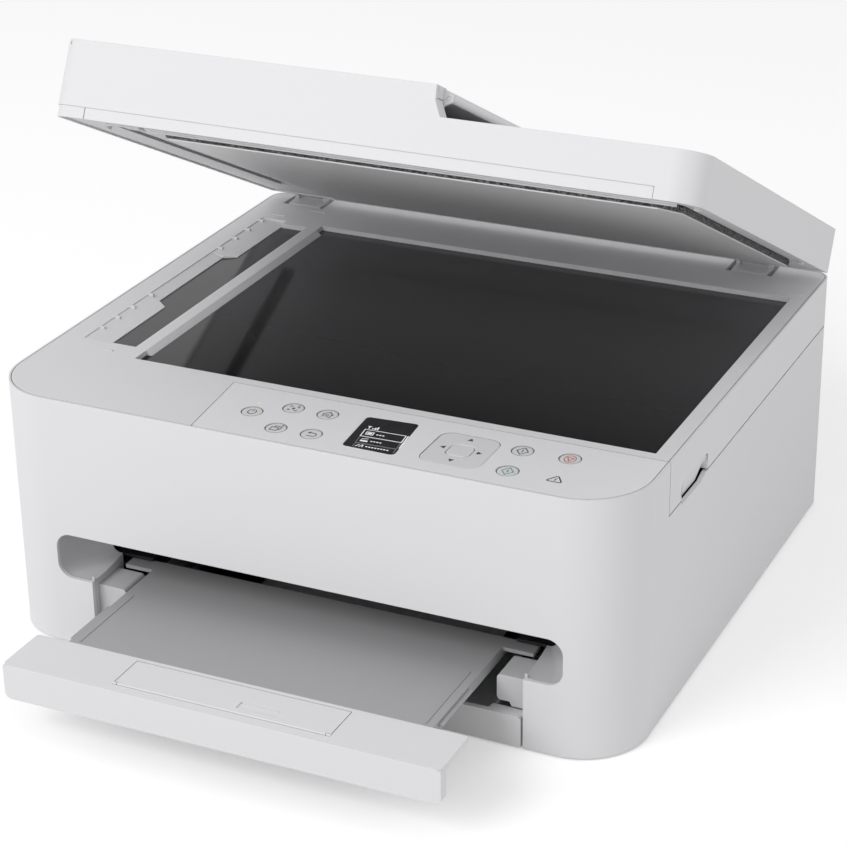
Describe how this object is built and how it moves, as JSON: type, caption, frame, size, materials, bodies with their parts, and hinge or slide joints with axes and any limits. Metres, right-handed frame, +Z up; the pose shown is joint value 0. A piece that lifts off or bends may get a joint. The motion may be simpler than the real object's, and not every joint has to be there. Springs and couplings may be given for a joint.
{
  "type": "multifunction printer",
  "caption": "White desktop inkjet multifunction printer with its scanner lid and document feeder open and its output tray drawn out.",
  "frame": {"origin": "centre of the footprint, on the surface under the feet", "axes": "+X to the right seen from the front, +Y to the back, +Z up"},
  "size_m": [0.379, 0.4522, 0.3209],
  "materials": {
    "white_plastic": "fine-grained warm white moulding",
    "key_plastic": "smooth satin white keys",
    "grey_plastic": "mid grey textured moulding",
    "black_plastic": "black moulding",
    "glass_sheet": "clear float glass over a dark interior",
    "window_black": "gloss black display window",
    "steel_sheet": "zinc-plated steel sheet",
    "roller_rubber": "dark matt rubber and foam",
    "sheet_white": "white pressure sheet",
    "board_green": "green solder mask"
  },
  "bodies": {
    "base": {"main_casing": "white_plastic", "base_chassis": "black_plastic", "feet": "roller_rubber", "cheek_left": "grey_plastic", "cheek_right": "grey_plastic", "operation_panel": "white_plastic", "display_window": "window_black", "control_board": "board_green", "power_inlet": "black_plastic", "usb_port": "steel_sheet", "power_supply": "steel_sheet", "main_board": "board_green", "print_frame": "steel_sheet", "carriage_rail": "steel_sheet", "platen": "black_plastic", "paper_deck": "black_plastic", "purge_unit": "black_plastic"},
    "scanner": {"scanner_tray": "white_plastic", "scanner_top": "white_plastic", "platen_glass": "glass_sheet", "feed_glass": "glass_sheet", "scan_rod": "steel_sheet", "lid_hinges": "grey_plastic"},
    "scan_head": {"scan_carriage": "black_plastic"},
    "lid": {"lid_base": "white_plastic", "lid_shell": "white_plastic", "pad_foam": "roller_rubber", "pad_sheet": "sheet_white", "feeder_frame": "black_plastic"},
    "feed_wheel": {"document_roller": "roller_rubber"},
    "feeder_top": {"feeder_cover": "white_plastic"},
    "feeder_tray": {"document_tray": "white_plastic"},
    "front_document_guide": {"document_guide_front": "grey_plastic"},
    "rear_document_guide": {"document_guide_rear": "grey_plastic"},
    "tray": {"output_tray": "grey_plastic", "tray_front": "white_plastic"},
    "stop_flap": {"paper_stop": "white_plastic"},
    "paper_drawer": {"cassette": "grey_plastic"},
    "left_guide": {"width_guide_left": "black_plastic"},
    "right_guide": {"width_guide_right": "black_plastic"},
    "rear_guide": {"end_guide": "black_plastic"},
    "back_door": {"rear_cover": "white_plastic"},
    "ink_carriage": {"carriage": "black_plastic", "ink_tank_black": "black_plastic", "ink_tank_colour": "black_plastic"},
    "feed_shaft": {"feed_roller": "roller_rubber"},
    "eject_shaft": {"eject_roller": "roller_rubber"},
    "idler": {"idle_gear": "black_plastic"},
    "pick_arm": {"pickup_arm": "black_plastic"},
    "pick_wheel": {"pickup_roller": "roller_rubber"},
    "power_button_key": {"power_button": "key_plastic"},
    "code_button_key": {"code_button": "key_plastic"},
    "home_button_key": {"home_button": "key_plastic"},
    "copy_button_key": {"copy_button": "key_plastic"},
    "back_button_key": {"back_button": "key_plastic"},
    "start_mono_button_key": {"start_mono_button": "key_plastic"},
    "start_colour_button_key": {"start_colour_button": "key_plastic"},
    "stop_button_key": {"stop_button": "key_plastic"},
    "direction_pad_key": {"direction_pad": "key_plastic"},
    "centre_button_key": {"centre_button": "key_plastic"}
  },
  "joints": [
    {"name": "scanner_hinge", "type": "hinge", "parent": "base", "child": "scanner", "pos_m": [0, 0.171, 0.12075], "axis": [-1, 0, 0], "range_deg": [0, 40]},
    {"name": "scan_slide", "type": "slide", "parent": "scanner", "child": "scan_head", "axis": [1, 0, 0], "range_m": [0, 0.321]},
    {"name": "lid_hinge", "type": "hinge", "parent": "scanner", "child": "lid", "pos_m": [0, 0.17, 0.157], "axis": [-1, 0, 0], "range_deg": [-26.83, 45]},
    {"name": "document_roller_spin", "type": "hinge", "parent": "lid", "child": "feed_wheel", "pos_m": [-0.154, 0.03354, 0.24171], "axis": [0, 0.8923, -0.4513], "continuous": true},
    {"name": "feeder_cover_hinge", "type": "hinge", "parent": "lid", "child": "feeder_top", "pos_m": [-0.1835, 0.0582, 0.25501], "axis": [0, -0.8923, 0.4513], "range_deg": [0, 70]},
    {"name": "document_tray_hinge", "type": "hinge", "parent": "feeder_top", "child": "feeder_tray", "pos_m": [0.0422, 0.05689, 0.25242], "axis": [0, 0.8923, -0.4513], "range_deg": [0, 155]},
    {"name": "front_document_guide_slide", "type": "slide", "parent": "feeder_tray", "child": "front_document_guide", "axis": [0, 0.8923, -0.4513], "range_m": [0, 0.05]},
    {"name": "rear_document_guide_slide", "type": "slide", "parent": "feeder_tray", "child": "rear_document_guide", "axis": [0, 0.8923, -0.4513], "range_m": [-0.05, 0]},
    {"name": "output_tray_slide", "type": "slide", "parent": "base", "child": "tray", "axis": [0, 1, 0], "range_m": [0, 0.0948]},
    {"name": "paper_stop_hinge", "type": "hinge", "parent": "tray", "child": "stop_flap", "pos_m": [0.003, -0.261, 0.042], "axis": [1, 0, 0], "range_deg": [0, 145]},
    {"name": "cassette_slide", "type": "slide", "parent": "base", "child": "paper_drawer", "axis": [0, -1, 0], "range_m": [0, 0.23]},
    {"name": "left_guide_slide", "type": "slide", "parent": "paper_drawer", "child": "left_guide", "axis": [1, 0, 0], "range_m": [0, 0.055]},
    {"name": "right_guide_slide", "type": "slide", "parent": "paper_drawer", "child": "right_guide", "axis": [1, 0, 0], "range_m": [-0.055, 0]},
    {"name": "rear_guide_slide", "type": "slide", "parent": "paper_drawer", "child": "rear_guide", "axis": [0, -1, 0], "range_m": [0, 0.11]},
    {"name": "rear_cover_hinge", "type": "hinge", "parent": "base", "child": "back_door", "pos_m": [0.003, 0.1712, 0.0433], "axis": [-1, 0, 0], "range_deg": [0, 60]},
    {"name": "carriage_slide", "type": "slide", "parent": "base", "child": "ink_carriage", "axis": [-1, 0, 0], "range_m": [0, 0.25]},
    {"name": "feed_roller_spin", "type": "hinge", "parent": "base", "child": "feed_shaft", "pos_m": [0, 0.01, 0.0495], "axis": [1, 0, 0], "continuous": true},
    {"name": "idle_gear_spin", "type": "hinge", "parent": "base", "child": "idler", "pos_m": [-0.173, -0.031, 0.0495], "axis": [1, 0, 0], "continuous": true},
    {"name": "eject_roller_spin", "type": "hinge", "parent": "base", "child": "eject_shaft", "pos_m": [0, -0.072, 0.0495], "axis": [1, 0, 0], "continuous": true},
    {"name": "pickup_arm_hinge", "type": "hinge", "parent": "base", "child": "pick_arm", "pos_m": [0.003, 0.06, 0.04], "axis": [1, 0, 0], "range_deg": [0, 8]},
    {"name": "pickup_roller_spin", "type": "hinge", "parent": "pick_arm", "child": "pick_wheel", "pos_m": [0.003, 0.092, 0.0302], "axis": [1, 0, 0], "continuous": true},
    {"name": "power_button_press", "type": "slide", "parent": "base", "child": "power_button_key", "axis": [0, 0, -1], "range_m": [0, 0.0006], "stiffness_N_per_m": 600, "springref_m": -0.0002},
    {"name": "code_button_press", "type": "slide", "parent": "base", "child": "code_button_key", "axis": [0, 0, -1], "range_m": [0, 0.0006], "stiffness_N_per_m": 600, "springref_m": -0.0002},
    {"name": "home_button_press", "type": "slide", "parent": "base", "child": "home_button_key", "axis": [0, 0, -1], "range_m": [0, 0.0006], "stiffness_N_per_m": 600, "springref_m": -0.0002},
    {"name": "copy_button_press", "type": "slide", "parent": "base", "child": "copy_button_key", "axis": [0, 0, -1], "range_m": [0, 0.0006], "stiffness_N_per_m": 600, "springref_m": -0.0002},
    {"name": "back_button_press", "type": "slide", "parent": "base", "child": "back_button_key", "axis": [0, 0, -1], "range_m": [0, 0.0006], "stiffness_N_per_m": 600, "springref_m": -0.0002},
    {"name": "start_mono_button_press", "type": "slide", "parent": "base", "child": "start_mono_button_key", "axis": [0, 0, -1], "range_m": [0, 0.0006], "stiffness_N_per_m": 600, "springref_m": -0.0002},
    {"name": "start_colour_button_press", "type": "slide", "parent": "base", "child": "start_colour_button_key", "axis": [0, 0, -1], "range_m": [0, 0.0006], "stiffness_N_per_m": 600, "springref_m": -0.0002},
    {"name": "stop_button_press", "type": "slide", "parent": "base", "child": "stop_button_key", "axis": [0, 0, -1], "range_m": [0, 0.0006], "stiffness_N_per_m": 600, "springref_m": -0.0002},
    {"name": "direction_pad_press", "type": "slide", "parent": "base", "child": "direction_pad_key", "axis": [0, 0, -1], "range_m": [0, 0.0006], "stiffness_N_per_m": 600, "springref_m": -0.0002},
    {"name": "centre_button_press", "type": "slide", "parent": "base", "child": "centre_button_key", "axis": [0, 0, -1], "range_m": [0, 0.0006], "stiffness_N_per_m": 600, "springref_m": -0.0002}
  ],
  "couplings": [
    {"joint": "idle_gear_spin", "follows": "feed_roller_spin", "ratio": -0.64},
    {"joint": "eject_roller_spin", "follows": "feed_roller_spin", "ratio": 1},
    {"joint": "right_guide_slide", "follows": "left_guide_slide", "ratio": -1},
    {"joint": "rear_document_guide_slide", "follows": "front_document_guide_slide", "ratio": -1}
  ]
}
